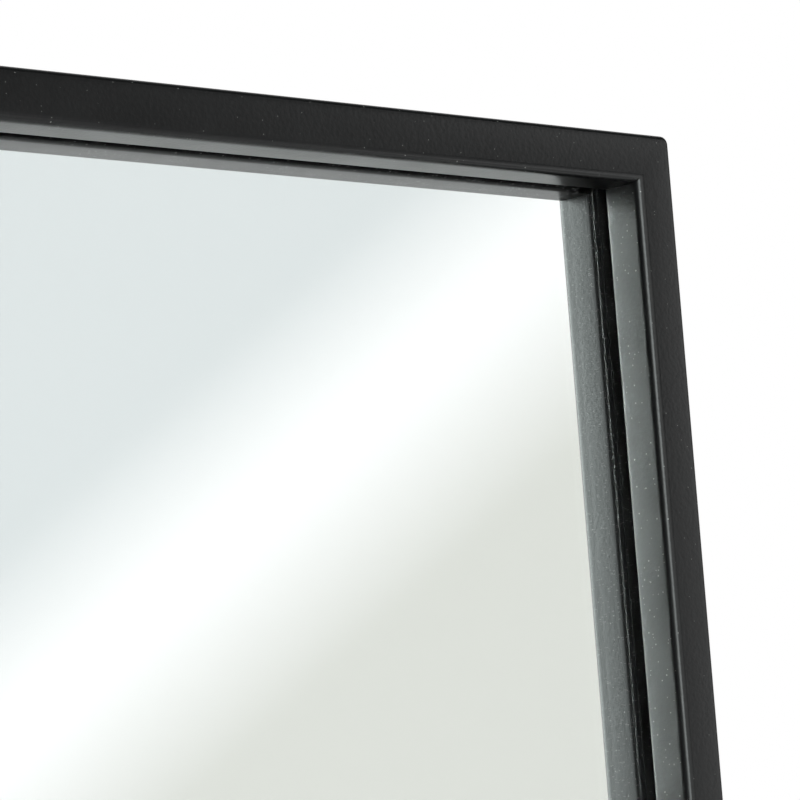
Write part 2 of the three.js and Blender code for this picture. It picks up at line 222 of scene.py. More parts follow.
# ------------------------------------------------------------------ node helpers
def new_group(name, inputs, outputs):
    """A shader node group with named number or vector sockets."""
    group = bpy.data.node_groups.new(name, "ShaderNodeTree")
    for label, kind, value in inputs:
        socket = group.interface.new_socket(label, in_out="INPUT", socket_type=kind)
        if value is not None:
            socket.default_value = value
    for label, kind in outputs:
        group.interface.new_socket(label, in_out="OUTPUT", socket_type=kind)
    return group, group.nodes.new("NodeGroupInput"), group.nodes.new("NodeGroupOutput")


NUMBER, VECTOR = "NodeSocketFloat", "NodeSocketVector"
MIX_SHARE, MIX_FIRST, MIX_SECOND, MIX_RESULT = 0, 6, 7, 2  # a Mix node's sockets for colours


class Bench:
    """Adds and joins nodes in one tree."""

    def __init__(self, tree):
        self.tree = tree

    def add(self, kind, values=None, **settings):
        node = self.tree.nodes.new(kind)
        for key, value in settings.items():
            setattr(node, key, value)
        for key, value in (values or {}).items():
            self.put(value, node.inputs[key])
        return node

    def put(self, value, socket):
        if isinstance(value, bpy.types.NodeSocket):
            self.tree.links.new(value, socket)
        else:
            socket.default_value = value

    def math(self, operation, a, b=0.0, c=0.0):
        return self.add("ShaderNodeMath", {0: a, 1: b, 2: c}, operation=operation).outputs[0]

    def span(self, value, low, high, to_low=0.0, to_high=1.0, kind="LINEAR"):
        node = self.add(
            "ShaderNodeMapRange",
            {"Value": value, "From Min": low, "From Max": high, "To Min": to_low, "To Max": to_high},
            interpolation_type=kind,
        )
        return node.outputs["Result"]

    def blend(self, share, first, second, kind="MIX"):
        node = self.add("ShaderNodeMix", data_type="RGBA", blend_type=kind)
        self.put(share, node.inputs[MIX_SHARE])
        self.put(first, node.inputs[MIX_FIRST])
        self.put(second, node.inputs[MIX_SECOND])
        return node.outputs[MIX_RESULT]

    def noise(self, place, scale, detail=2.0, roughness=0.5, distortion=0.0):
        return self.add(
            "ShaderNodeTexNoise",
            {
                "Vector": place,
                "Scale": scale,
                "Detail": detail,
                "Roughness": roughness,
                "Distortion": distortion,
            },
        ).outputs["Fac"]

    def ramp(self, value, stops):
        node = self.add("ShaderNodeValToRGB", {"Fac": value})
        band = node.color_ramp
        band.elements[0].position, band.elements[0].color = stops[0][0], stops[0][1]
        band.elements[1].position, band.elements[1].color = stops[-1][0], stops[-1][1]
        for position, colour in stops[1:-1]:
            band.elements.new(position).color = colour
        return node.outputs["Color"]


def rgb(red, green, blue):
    return (red, green, blue, 1.0)


def grey(level):
    return rgb(level, level, level)


def new_material(name):
    material = bpy.data.materials.new(name)
    material.use_nodes = True
    bench = Bench(material.node_tree)
    shader = material.node_tree.nodes["Principled BSDF"]
    place = bench.add("ShaderNodeTexCoord").outputs["Object"]
    return material, bench, shader, place


def stretched(bench, place, scale):
    return bench.add("ShaderNodeMapping", {"Vector": place, "Scale": scale}).outputs[0]


# ------------------------------------------------------------------ shared effects
SWELL_SCALE = 0.22  # against the pebbles' scale
SWELL_HEIGHT = 0.35  # against the pebbles' height
SPECK_SIZES = (0.08, 0.22)  # the smallest and the largest radius, against a cell's width


def orange_peel_group():
    """The fine pebbled skin of a baked powder coat: a height, and a slow drift of gloss."""
    group, start, end = new_group(
        "orange_peel",
        [("Place", VECTOR, None), ("Pebble Scale", NUMBER, 700.0)],
        [("Height", NUMBER), ("Drift", NUMBER)],
    )
    bench = Bench(group)
    place, scale = start.outputs["Place"], start.outputs["Pebble Scale"]
    pebbles = bench.noise(place, scale, detail=1.5, roughness=0.45)
    swell = bench.noise(place, bench.math("MULTIPLY", scale, SWELL_SCALE), detail=1.0)
    height = bench.math("MULTIPLY_ADD", swell, SWELL_HEIGHT, pebbles)
    bench.put(height, end.inputs["Height"])
    bench.put(bench.noise(place, 9.0, detail=3.0, roughness=0.6), end.inputs["Drift"])
    return group


def dust_group():
    """Sparse settled specks: a mask with small round grains of uneven size. Each cell has a
    chance colour, whose first part picks the cells and second part sets the size."""
    group, start, end = new_group(
        "settled_dust",
        [("Place", VECTOR, None), ("Speck Scale", NUMBER, 420.0), ("Amount", NUMBER, 0.03)],
        [("Mask", NUMBER)],
    )
    bench = Bench(group)
    cells = bench.add(
        "ShaderNodeTexVoronoi",
        {"Vector": start.outputs["Place"], "Scale": start.outputs["Speck Scale"]},
        feature="F1",
    )
    chance = bench.add("ShaderNodeSeparateColor", {"Color": cells.outputs["Color"]})
    chosen = bench.math("LESS_THAN", chance.outputs[0], start.outputs["Amount"])
    size = bench.span(chance.outputs[1], 0.0, 1.0, *SPECK_SIZES)
    grain = bench.math("LESS_THAN", cells.outputs["Distance"], size)
    bench.put(bench.math("MULTIPLY", chosen, grain), end.inputs["Mask"])
    return group


def handling_group():
    """Slow cloudy smears left by hands and cloths: a mask."""
    group, start, end = new_group(
        "handling_smears",
        [("Place", VECTOR, None), ("Cloud Scale", NUMBER, 14.0)],
        [("Mask", NUMBER)],
    )
    bench = Bench(group)
    place, scale = start.outputs["Place"], start.outputs["Cloud Scale"]
    clouds = bench.noise(place, scale, detail=5.0, roughness=0.62, distortion=0.6)
    bench.put(bench.span(clouds, 0.42, 0.72), end.inputs["Mask"])
    return group


ORANGE_PEEL = orange_peel_group()
DUST = dust_group()
SMEARS = handling_group()


def use_group(bench, group, place, **values):
    node = bench.add("ShaderNodeGroup", node_tree=group)
    bench.put(place, node.inputs["Place"])
    for key, value in values.items():
        bench.put(value, node.inputs[key.replace("_", " ")])
    return node.outputs


def add_bump(bench, shader, height, distance, strength=1.0):
    bump = bench.add("ShaderNodeBump", {"Height": height, "Strength": strength})
    bump.inputs["Distance"].default_value = distance
    bench.put(bump.outputs["Normal"], shader.inputs["Normal"])


# ------------------------------------------------------------------ materials
COAT_BUMP = 0.06 * MM
DRAWN_HEIGHT = 0.05  # against the pebbles' height
MEAN_HEIGHT = 0.7  # of the pebbles, the swell and the drawn lines together
SMOOTH_BAND = 2.4 * MM  # how far from the rear edge the coat is smooth


def satin_black_coat():
    material, bench, shader, place = new_material("satin_black_coat")
    peel = use_group(bench, ORANGE_PEEL, place, Pebble_Scale=620.0)
    dust = use_group(bench, DUST, place, Speck_Scale=640.0, Amount=0.07)["Mask"]
    smears = use_group(bench, SMEARS, place, Cloud_Scale=16.0)["Mask"]
    base = bench.blend(peel["Drift"], rgb(0.0009, 0.001, 0.0011), rgb(0.0016, 0.0018, 0.0019))
    bench.put(bench.blend(dust, base, rgb(0.1, 0.1, 0.095)), shader.inputs["Base Color"])
    gloss = bench.span(peel["Drift"], 0.3, 0.7, 0.28, 0.33)
    bench.put(bench.math("MULTIPLY_ADD", smears, 0.035, gloss), shader.inputs["Roughness"])
    shader.inputs["IOR"].default_value = 1.36
    # Faint lines left by the drawing of the tube run along its walls, and not on the front.
    along = stretched(bench, place, (0.015, 1.0, 0.015))
    drawn = bench.noise(along, 1300.0, detail=2.0, roughness=0.6)
    height = bench.math("MULTIPLY_ADD", drawn, DRAWN_HEIGHT, peel["Height"])
    # The coat is smooth along the rear edges of the tubes, and pebbled beside them.
    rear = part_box("left_stile")[1][1]
    depth = bench.add("ShaderNodeSeparateXYZ", {"Vector": place}).outputs["Y"]
    from_edge = bench.math("ABSOLUTE", bench.math("SUBTRACT", depth, rear - SMOOTH_BAND / 2))
    pebbled = bench.span(from_edge, SMOOTH_BAND / 2, SMOOTH_BAND, kind="SMOOTHSTEP")
    height = bench.math("MULTIPLY", bench.math("SUBTRACT", height, MEAN_HEIGHT), pebbled)
    add_bump(bench, shader, height, COAT_BUMP)
    return material


def clear_glass():
    material, bench, shader, place = new_material("clear_float_glass")
    dust = use_group(bench, DUST, place, Speck_Scale=900.0, Amount=0.3)["Mask"]
    bench.put(
        bench.blend(dust, rgb(0.985, 0.995, 0.99), rgb(0.93, 0.93, 0.92)),
        shader.inputs["Base Color"],
    )
    # Painted glint: the settled dust glows faintly, so it shows only where the glass mirrors
    # something dark.
    bench.put(bench.blend(dust, grey(0.0), grey(1.0)), shader.inputs["Emission Color"])
    shader.inputs["Emission Strength"].default_value = 0.07
    shader.inputs["Roughness"].default_value = 0.0
    shader.inputs["IOR"].default_value = 1.52
    shader.inputs["Transmission Weight"].default_value = 1.0
    return material


def silvering():
    material, bench, shader, place = new_material("silvering")
    clouds = use_group(bench, SMEARS, place, Cloud_Scale=3.0)["Mask"]
    bench.put(
        bench.blend(clouds, rgb(0.945, 0.955, 0.955), rgb(0.935, 0.947, 0.945)),
        shader.inputs["Base Color"],
    )
    shader.inputs["Metallic"].default_value = 1.0
    bench.put(bench.math("MULTIPLY", clouds, 0.002), shader.inputs["Roughness"])
    return material


def raw_fibreboard():
    material, bench, shader, place = new_material("raw_fibreboard")
    fine = bench.noise(place, 900.0, detail=4.0, roughness=0.7)
    upright = stretched(bench, place, (1.0, 1.0, 0.5))
    flecks = bench.noise(upright, 800.0, detail=3.0, roughness=0.65)
    clouds = bench.noise(place, 5.0, detail=4.0, roughness=0.6)
    tone = bench.blend(fine, rgb(0.22, 0.14, 0.078), rgb(0.36, 0.245, 0.145))
    tone = bench.blend(bench.span(flecks, 0.58, 0.8, 0.0, 0.6), tone, rgb(0.14, 0.085, 0.045))
    tone = bench.blend(bench.span(clouds, 0.35, 0.7, 0.0, 0.5), tone, rgb(0.2, 0.13, 0.075))
    bench.put(tone, shader.inputs["Base Color"])
    bench.put(bench.span(fine, 0.2, 0.8, 0.72, 0.9), shader.inputs["Roughness"])
    add_bump(bench, shader, bench.math("ADD", fine, flecks), 0.05 * MM, 0.7)
    return material


def foam_tape():
    material, bench, shader, place = new_material("foam_tape")
    cells = bench.noise(place, 1500.0, detail=2.0, roughness=0.6)
    bench.put(bench.blend(cells, grey(0.015), grey(0.035)), shader.inputs["Base Color"])
    bench.put(bench.span(cells, 0.2, 0.8, 0.8, 0.98), shader.inputs["Roughness"])
    add_bump(bench, shader, cells, 0.05 * MM)
    return material


def zinc_plate(name, dark, light, smooth, rough, grain):
    """Bright or dull zinc: a metal with faint bluish bloom and fine scratches."""
    material, bench, shader, place = new_material(name)
    bloom = bench.noise(place, 130.0, detail=4.0, roughness=0.6)
    upright = stretched(bench, place, (1.0, 1.0, 0.06))
    scratches = bench.noise(upright, grain, detail=3.0, roughness=0.6)
    bench.put(bench.blend(bloom, dark, light), shader.inputs["Base Color"])
    shader.inputs["Metallic"].default_value = 1.0
    bench.put(bench.span(scratches, 0.3, 0.7, smooth, rough), shader.inputs["Roughness"])
    add_bump(bench, shader, scratches, 0.008 * MM, 0.6)
    return material


def black_rubber():
    material, bench, shader, place = new_material("black_rubber")
    skin = bench.noise(place, 1200.0, detail=3.0, roughness=0.6)
    dust = use_group(bench, DUST, place, Speck_Scale=700.0, Amount=0.05)["Mask"]
    base = bench.blend(skin, grey(0.012), grey(0.028))
    bench.put(bench.blend(dust, base, grey(0.15)), shader.inputs["Base Color"])
    bench.put(bench.span(skin, 0.2, 0.8, 0.62, 0.8), shader.inputs["Roughness"])
    add_bump(bench, shader, skin, 0.03 * MM, 0.8)
    return material


BLACK_COAT = satin_black_coat()
GLASS = clear_glass()
SILVER = silvering()
FIBREBOARD = raw_fibreboard()
TAPE = foam_tape()
SCREW_ZINC = zinc_plate("screw_zinc", rgb(0.55, 0.57, 0.6), rgb(0.7, 0.7, 0.68), 0.18, 0.34, 900.0)
HANGER_ZINC = zinc_plate("hanger_zinc", rgb(0.27, 0.28, 0.3), rgb(0.4, 0.4, 0.385), 0.34, 0.56, 700.0)
RUBBER = black_rubber()


# ------------------------------------------------------------------ the welded frame
TUBE_NODES = ("top_rail", "bottom_rail", "left_stile", "right_stile")
FACING = 0.9  # a normal with at least this share along an axis faces along it


def frame_box():
    """The lowest and highest corner of the four tubes together."""
    corners = [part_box(n) for n in TUBE_NODES]
    low = Vector(min(c[0][i] for c in corners) for i in range(3))
    high = Vector(max(c[1][i] for c in corners) for i in range(3))
    return low, high


LOW, HIGH = frame_box()
MIDDLE = (LOW + HIGH) / 2
HALF = (HIGH - LOW) / 2
INNER_HALF_X = HALF.x - TUBE
INNER_HALF_Z = HALF.z - TUBE


def beside(point, half_x, half_z):
    """True where a point lies on the upright rectangle with these half sizes."""
    x, z = abs(point.x - MIDDLE.x), abs(point.z - MIDDLE.z)
    within = max(x - half_x, z - half_z) < TOUCH
    return within and (near(x, half_x) or near(z, half_z))


def is_inner(point):
    return beside(point, INNER_HALF_X, INNER_HALF_Z)


def on_rim(point):
    """True on the outer outline, its ground corners included."""
    x = abs(point.x - MIDDLE.x) - (HALF.x - GROUND_CORNER_RADIUS)
    z = abs(point.z - MIDDLE.z) - (HALF.z - GROUND_CORNER_RADIUS)
    if min(x, z) > ROUND_OFF:
        return near(math.hypot(x, z), GROUND_CORNER_RADIUS)
    return near(max(x, z), GROUND_CORNER_RADIUS)


def runs_in_depth(a, b):
    return near(a.x, b.x) and near(a.z, b.z) and not near(a.y, b.y)


def is_mitre(a, b):
    """True for the slanting edge in a corner, from the round corner's middle inwards."""
    run = TUBE - GROUND_CORNER_RADIUS
    return near(a.y, b.y) and near(abs(a.x - b.x), run) and near(abs(a.z - b.z), run)


def is_front_inner_edge(a, b):
    """True for an edge along the tube, on the front corner beside the glass."""
    return lies_on(a, b, LOW.y) and is_inner(a) and is_inner(b)


def is_rear_inner_edge(a, b):
    return lies_on(a, b, HIGH.y) and is_inner(a) and is_inner(b)


def is_outer_edge(a, b):
    on_face = lies_on(a, b, LOW.y) or lies_on(a, b, HIGH.y)
    return on_face and on_rim(a) and on_rim(b)


def is_end_face(centre, normal):
    """True for the large face in the middle of the front or of the back."""
    return abs(normal.y) > FACING and (centre - MIDDLE).xz.length < TUBE


def inset_ends(piece, thickness):
    for side in (-1, 1):
        edit_faces(piece, lambda centre, normal: is_end_face(centre, normal) and normal.y * side > 0)
        bpy.ops.mesh.inset(thickness=thickness, use_even_offset=True)
        close_edit()


GATHER_REACH = 1 * MM


def gather_corners(piece):
    """Brings the inset line together, in each round corner, in the middle of its rounding."""
    x, z = HALF.x - GROUND_CORNER_RADIUS, HALF.z - GROUND_CORNER_RADIUS
    for turn_x, face_y, turn_z in itertools.product((-x, x), (LOW.y, HIGH.y), (-z, z)):
        middle = Vector((MIDDLE.x + turn_x, face_y, MIDDLE.z + turn_z))
        edit_points(piece, lambda point: (point - middle).length < GATHER_REACH)
        bpy.ops.transform.resize(value=(0, 0, 0), center_override=middle)
        close_edit()
    edit_points(piece, lambda point: True)
    bpy.ops.mesh.remove_doubles(threshold=TOUCH)
    close_edit()


def cut_across(piece, test):
    edit_edges(piece, test)
    bpy.ops.mesh.subdivide(number_cuts=FACE_CUTS)
    close_edit()


def crown_at(share):
    """How far a face stands proud at a share, from 0 to 1, of the way across it: a parabola
    that reaches the whole crown in the middle."""
    return FACE_CROWN * 4 * share * (1 - share)


def crown_walls(piece):
    """Lets the sides that face out and in swell a little between their edges."""
    for cut in range(1, FACE_CUTS + 1):
        share = cut / (FACE_CUTS + 1)
        depth = LOW.y + share * TUBE
        edit_points(piece, lambda p: near(p.y, depth) and (on_rim(p) or is_inner(p)))
        bpy.ops.transform.shrink_fatten(value=crown_at(share), use_even_offset=True)
        close_edit()


def crown_front_and_back(piece):
    flat = TUBE - GROUND_CORNER_RADIUS
    for plane, side in ((LOW.y, -1), (HIGH.y, 1)):
        for cut in range(FACE_CUTS + 1):
            inset = GROUND_CORNER_RADIUS + flat * cut / (FACE_CUTS + 1)
            half_x, half_z = HALF.x - inset, HALF.z - inset
            edit_points(piece, lambda p: near(p.y, plane) and beside(p, half_x, half_z))
            bpy.ops.transform.translate(value=(0, side * crown_at(inset / TUBE), 0))
            close_edit()


def round_edges(piece, test, radius, segments):
    edit_edges(piece, test)
    bpy.ops.mesh.bevel(offset=radius, segments=segments, profile=0.5, affect="EDGES")
    close_edit()


def welded_frame():
    """Four mitred tubes welded into one, ground flush and coated as one piece."""
    piece = block("welded_frame", LOW, HIGH)
    round_edges(piece, runs_in_depth, GROUND_CORNER_RADIUS, CORNER_SEGMENTS)
    inset_ends(piece, GROUND_CORNER_RADIUS)
    gather_corners(piece)
    inset_ends(piece, TUBE - GROUND_CORNER_RADIUS)
    edit_faces(piece, is_end_face)
    bpy.ops.mesh.bridge_edge_loops()
    close_edit()
    cut_across(piece, runs_in_depth)
    cut_across(piece, is_mitre)
    crown_walls(piece)
    crown_front_and_back(piece)
    round_edges(piece, is_outer_edge, OUTER_EDGE_RADIUS, EDGE_SEGMENTS)
    round_edges(piece, is_front_inner_edge, FRONT_INNER_RADIUS, EDGE_SEGMENTS)
    round_edges(piece, is_rear_inner_edge, REAR_INNER_RADIUS, EDGE_SEGMENTS)
    shade(piece, angle=40)
    even_out_shading(piece)
    return piece


hand_over(welded_frame(), BLACK_COAT, "black_coat", *TUBE_NODES)


# ------------------------------------------------------------------ places on the four sides
TURNS = {"top": 0, "right": 90, "bottom": 180, "left": 270}


def side_turn(side):
    """Turns a piece made with its outer face up (+Z) onto its side of the frame."""
    return Matrix.Rotation(math.radians(TURNS[side]), 3, "Y")


def side_place(side):
    """The middle of a side's outer face, at the frame's front."""
    out = side_turn(side) @ Vector((0, 0, 1))
    return Vector((MIDDLE.x + out.x * HALF.x, LOW.y, MIDDLE.z + out.z * HALF.z))


def is_upright(side):
    return side in ("left", "right")


def stations(count, length, end_distance):
    """Evenly spaced places along a member, the first and last set in from its ends."""
    span = length - 2 * end_distance
    return [-span / 2 + i * span / (count - 1) for i in range(count)]


def node_middle(node):
    low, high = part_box(node)
    return (Vector(low) + Vector(high)) / 2


def join_onto(piece, additions):
    make_active(piece)
    for addition in additions:
        addition.select_set(True)
    bpy.ops.object.join()
    return piece


# ------------------------------------------------------------------ rebate bars
BAR_INSET = 3 * MM
BAR_THICKNESS = 2 * MM
BAR_HEIGHT = 16 * MM
BAR_FRONT = TUBE + GAP
BAR_EDGE = 0.3 * MM
WELD_RADIUS = 2.2 * MM
WELD_LENGTH = 26 * MM
WELD_RIPPLES = 13
WELD_RIPPLE_HEIGHT = 0.16 * MM
WELD_TAPER = (0.4, 0.72, 0.9)  # what is left of the radius at the end and the next two rings
WELD_SINK = 0.4 * MM
WELD_END_DISTANCE = 1.5 * WELD_LENGTH
WELDS = {"top": 3, "bottom": 3, "left": 6, "right": 6}
SCREWS = {"top": 3, "bottom": 3, "left": 5, "right": 5}
SCREW_END_DISTANCE = 70 * MM
SCREW_DEPTH = 30.6 * MM  # the middle of the board's thickness, from the frame's front
SCREW_HOLE_RADIUS = 1.8 * MM


def weld_bead():
    """A stitch weld: a round bead with the ripples of its passes, drawn in at both ends.
    It is cut flat where it sinks into the bar and into the tube."""
    bead = cylinder("weld_bead", (0, 0, 0), WELD_RADIUS, WELD_LENGTH, axis="X", vertices=28)
    edit_edges(bead, lambda a, b: abs(a.x - b.x) > WELD_LENGTH / 2)
    bpy.ops.mesh.subdivide(number_cuts=2 * WELD_RIPPLES - 1)
    close_edit()
    step = WELD_LENGTH / (2 * WELD_RIPPLES)
    edit_points(bead, lambda p: round((p.x + WELD_LENGTH / 2) / step) % 2 == 1)
    bpy.ops.transform.shrink_fatten(value=WELD_RIPPLE_HEIGHT)
    close_edit()
    for end, (rings, narrow) in itertools.product((-1, 1), enumerate(WELD_TAPER)):
        at = end * (WELD_LENGTH / 2 - rings * step)
        edit_points(bead, lambda p: near(p.x, at))
        bpy.ops.transform.resize(value=(1, narrow, narrow), center_override=(at, 0, 0))
        close_edit()
    for inward in ((0, 1, 0), (0, 0, 1)):
        edit_faces(bead, lambda centre, normal: True)
        flat = -WELD_SINK * Vector(inward)
        bpy.ops.mesh.bisect(plane_co=flat, plane_no=inward, use_fill=True, clear_inner=True)
        close_edit()
    return bead


def rebate_bar(side, bead):
    """A flat bar on edge behind the tube, drilled for the board's screws and stitch welded."""
    frame_length = 2 * (HALF.z if is_upright(side) else HALF.x)
    end_gap = BAR_INSET if is_upright(side) else BAR_INSET + BAR_THICKNESS + GAP
    length = frame_length - 2 * end_gap
    outer = -BAR_INSET
    low = (-length / 2, BAR_FRONT, outer - BAR_THICKNESS)
    bar = block(f"welded_bar_{side}", low, (length / 2, BAR_FRONT + BAR_HEIGHT, outer))
    bevel_piece(bar, BAR_EDGE, segments=2)
    for x in stations(SCREWS[side], frame_length, SCREW_END_DISTANCE):
        hole = cylinder("hole", (x, SCREW_DEPTH, outer), SCREW_HOLE_RADIUS, 4 * BAR_THICKNESS)
        carve(bar, hole)
    beads = [
        copy_to(bead, "bead", Matrix.Identity(3), Vector((x, BAR_FRONT, outer)))
        for x in stations(WELDS[side], length, WELD_END_DISTANCE)
    ]
    join_onto(bar, beads)
    bar.data.transform(Matrix.Translation(side_place(side)) @ side_turn(side).to_4x4())
    shade(bar)
    return bar


BEAD = weld_bead()
for side in TURNS:
    hand_over(rebate_bar(side, BEAD), BLACK_COAT, "black_coat", f"{side}_rebate_bar")
bpy.data.objects.remove(BEAD)


# ------------------------------------------------------------------ screws
# Both screws are made upright, their middle at the origin, with the head up.
PAN_HEAD_RADIUS = 2.8 * MM
PAN_HEAD_HEIGHT = 2 * MM
PAN_HEAD_ROUNDING = 1.2 * MM
PAN_HEAD_LOWER_EDGE = 0.15 * MM
PAN_RECESS_REACH = 1.65 * MM
PAN_SCREW_LENGTH = 18 * MM
SHANK_RADIUS = 1.5 * MM
SUNK_HEAD_RADIUS = 2.9 * MM
SUNK_HEAD_EDGE = 0.12 * MM
SUNK_RECESS_REACH = 1.7 * MM
SUNK_SHANK_RADIUS = 1.4 * MM
SUNK_SCREW_LENGTH = 5.5 * MM
RECESS_WIDTH = 0.8 * MM
RECESS_DEPTH = 1.1 * MM
RECESS_MIDDLE_DEPTH = 1.3 * RECESS_DEPTH
RECESS_MIDDLE_SPREAD = 2.6  # how much wider the deep middle is at its top than at its bottom
THREAD_PITCH = 1.1 * MM
THREAD_ROOT = 0.78  # against the shank's radius
THREAD_TIP = 0.1  # against the shank's radius


def cone(name, low_z, high_z, low_radius, high_radius, vertices=40):
    deselect_all()
    bpy.ops.mesh.primitive_cone_add(
        vertices=vertices,
        radius1=low_radius,
        radius2=high_radius,
        depth=high_z - low_z,
        location=(0, 0, (low_z + high_z) / 2),
    )
    return finish_start(bpy.context.object, name)


def cross_recess(head, top, reach):
    """A cross slot with a deeper middle, for a cross-point driver."""
    half = RECESS_WIDTH / 2
    for x, y in ((reach, half), (half, reach)):
        carve(head, block("arm", (-x, -y, top - RECESS_DEPTH), (x, y, top + CLEAR)))
    low, high = top - RECESS_MIDDLE_DEPTH, top + CLEAR
    carve(head, cone("middle", low, high, half, RECESS_MIDDLE_SPREAD * half, vertices=16))


def threaded_shank(top, tip, radius):
    """A shank with the ridges of its thread, and a point."""
    shank = cylinder("shank", (0, 0, (top + tip) / 2), radius, top - tip, vertices=20)
    edit_edges(shank, lambda a, b: abs(a.z - b.z) > (top - tip) / 2)
    cuts = 2 * round((top - tip) / THREAD_PITCH) - 1
    bpy.ops.mesh.subdivide(number_cuts=cuts)
    close_edit()
    step = (top - tip) / (cuts + 1)
    edit_points(shank, lambda p: round((top - p.z) / step) % 2 == 1)
    bpy.ops.transform.resize(value=(THREAD_ROOT, THREAD_ROOT, 1), center_override=(0, 0, 0))
    close_edit()
    edit_points(shank, lambda p: near(p.z, tip))
    bpy.ops.transform.resize(value=(THREAD_TIP, THREAD_TIP, 1), center_override=(0, 0, tip))
    close_edit()
    return shank


def pan_head_screw():
    top = PAN_SCREW_LENGTH / 2
    under = top - PAN_HEAD_HEIGHT
    middle = (0, 0, (top + under) / 2)
    head = cylinder("pan_head", middle, PAN_HEAD_RADIUS, PAN_HEAD_HEIGHT, vertices=40)
    round_edges(head, lambda a, b: is_level(a, b, top), PAN_HEAD_ROUNDING, segments=6)
    round_edges(head, lambda a, b: is_level(a, b, under), PAN_HEAD_LOWER_EDGE, segments=2)
    cross_recess(head, top, PAN_RECESS_REACH)
    join_onto(head, [threaded_shank(under, -top, SHANK_RADIUS)])
    shade(head)
    return head


def countersunk_screw():
    top = SUNK_SCREW_LENGTH / 2
    under = top - (SUNK_HEAD_RADIUS - SUNK_SHANK_RADIUS)
    head = cone("sunk_head", under, top, SUNK_SHANK_RADIUS, SUNK_HEAD_RADIUS)
    round_edges(head, lambda a, b: is_level(a, b, top), SUNK_HEAD_EDGE, segments=2)
    cross_recess(head, top, SUNK_RECESS_REACH)
    join_onto(head, [threaded_shank(under, -top, SUNK_SHANK_RADIUS)])
    shade(head)
    return head


PAN_SCREW = pan_head_screw()
for side, count in SCREWS.items():
    for number in range(1, count + 1):
        node = f"{side}_board_screw_{number}"
        screw = copy_to(PAN_SCREW, f"pan_screw_{side}_{number}", side_turn(side), node_middle(node))
        hand_over(screw, SCREW_ZINC, "screw_zinc", node)
bpy.data.objects.remove(PAN_SCREW)

FACING_BACK = Matrix.Rotation(math.radians(-90), 3, "X")
SUNK_SCREW = countersunk_screw()
for side, end in itertools.product(("left", "right"), ("upper", "lower")):
    node = f"{side}_hanger_screw_{end}"
    screw = copy_to(SUNK_SCREW, f"sunk_screw_{side}_{end}", FACING_BACK, node_middle(node))
    hand_over(screw, SCREW_ZINC, "screw_zinc", node)
bpy.data.objects.remove(SUNK_SCREW)


# ------------------------------------------------------------------ hangers
HANGER_WIDTH = 18 * MM
HANGER_HEIGHT = 50 * MM
HANGER_THICKNESS = 1.5 * MM
HANGER_EDGE = 0.35 * MM
HANGER_END_FLAT = 0.02 * MM  # left on each side of an end's middle, between its two roundings
KEYHOLE_RADIUS = 5 * MM
KEYHOLE_SLOT_RADIUS = 2.6 * MM
KEYHOLE_DROP = 4 * MM  # the round hole's middle, below the plate's middle
SLOT_END = 7 * MM  # the middle of the slot's round end, above the plate's middle
HANGER_SCREW_OFFSET = 19 * MM


def keyhole_hanger():
    """A pressed plate with round ends, a keyhole, and a countersunk hole at each end."""
    half = Vector((HANGER_WIDTH, HANGER_THICKNESS, HANGER_HEIGHT)) / 2
    plate = block("keyhole_hanger", -half, half)
    round_edges(plate, runs_in_depth, half.x - HANGER_END_FLAT, segments=12)
    round_edges(plate, lambda a, b: lies_on(a, b, half.y), HANGER_EDGE, segments=3)
    through = 4 * HANGER_THICKNESS
    drop = (0, 0, -KEYHOLE_DROP)
    carve(plate, cylinder("hole", drop, KEYHOLE_RADIUS, through, axis="Y", vertices=48))
    carve(plate, cylinder("slot", (0, 0, SLOT_END), KEYHOLE_SLOT_RADIUS, through, axis="Y"))
    slot_low = (-KEYHOLE_SLOT_RADIUS, -through / 2, -KEYHOLE_DROP)
    carve(plate, block("neck", slot_low, (KEYHOLE_SLOT_RADIUS, through / 2, SLOT_END)))
    depth = SUNK_HEAD_RADIUS - SUNK_SHANK_RADIUS
    outer = SUNK_HEAD_RADIUS + GAP + depth
    for z in (-HANGER_SCREW_OFFSET, HANGER_SCREW_OFFSET):
        sink = cone("sink", -depth - CLEAR, depth, SUNK_SHANK_RADIUS + GAP - CLEAR, outer)
        sink.data.transform(Matrix.Translation((0, half.y, z)) @ FACING_BACK.to_4x4())
        carve(plate, sink)
    shade(plate)
    return plate


HANGER = keyhole_hanger()
for side in ("left", "right"):
    node = f"{side}_hanger_plate"
    plate = copy_to(HANGER, f"keyhole_hanger_{side}", Matrix.Identity(3), node_middle(node))
    hand_over(plate, HANGER_ZINC, "hanger_steel", node)
bpy.data.objects.remove(HANGER)


# ------------------------------------------------------------------ rubber pieces
BUMPER_RADIUS = 8 * MM
BUMPER_HEIGHT = 4 * MM
BUMPER_ROLLED_EDGE = 1.2 * MM
BUMPER_GLUED_EDGE = 0.3 * MM
PAD_UNDER_TUBE = 2.7 * MM
PAD_CORNER = 5 * MM
PAD_EDGE = 0.6 * MM
GROOVE_WIDTH = 0.9 * MM
GROOVE_DEPTH = 0.6 * MM
GROOVE_SPACING = 3.6 * MM
GROOVE_MARGIN = 6 * MM


def wall_bumper():
    """A round bumper with a flat foot and a moulded, rolled edge."""
    bumper = cylinder("bumper", (0, 0, 0), BUMPER_RADIUS, BUMPER_HEIGHT, axis="Y", vertices=64)
    foot = BUMPER_HEIGHT / 2
    round_edges(bumper, lambda a, b: lies_on(a, b, foot), BUMPER_ROLLED_EDGE, segments=6)
    round_edges(bumper, lambda a, b: lies_on(a, b, -foot), BUMPER_GLUED_EDGE, segments=2)
    shade(bumper)
    return bumper


BUMPER = wall_bumper()
for side, end in itertools.product(("left", "right"), ("upper", "lower")):
    node = f"{side}_{end}_bumper"
    bumper = copy_to(BUMPER, f"wall_bumper_{side}_{end}", Matrix.Identity(3), node_middle(node))
    hand_over(bumper, RUBBER, "rubber", node)
bpy.data.objects.remove(BUMPER)


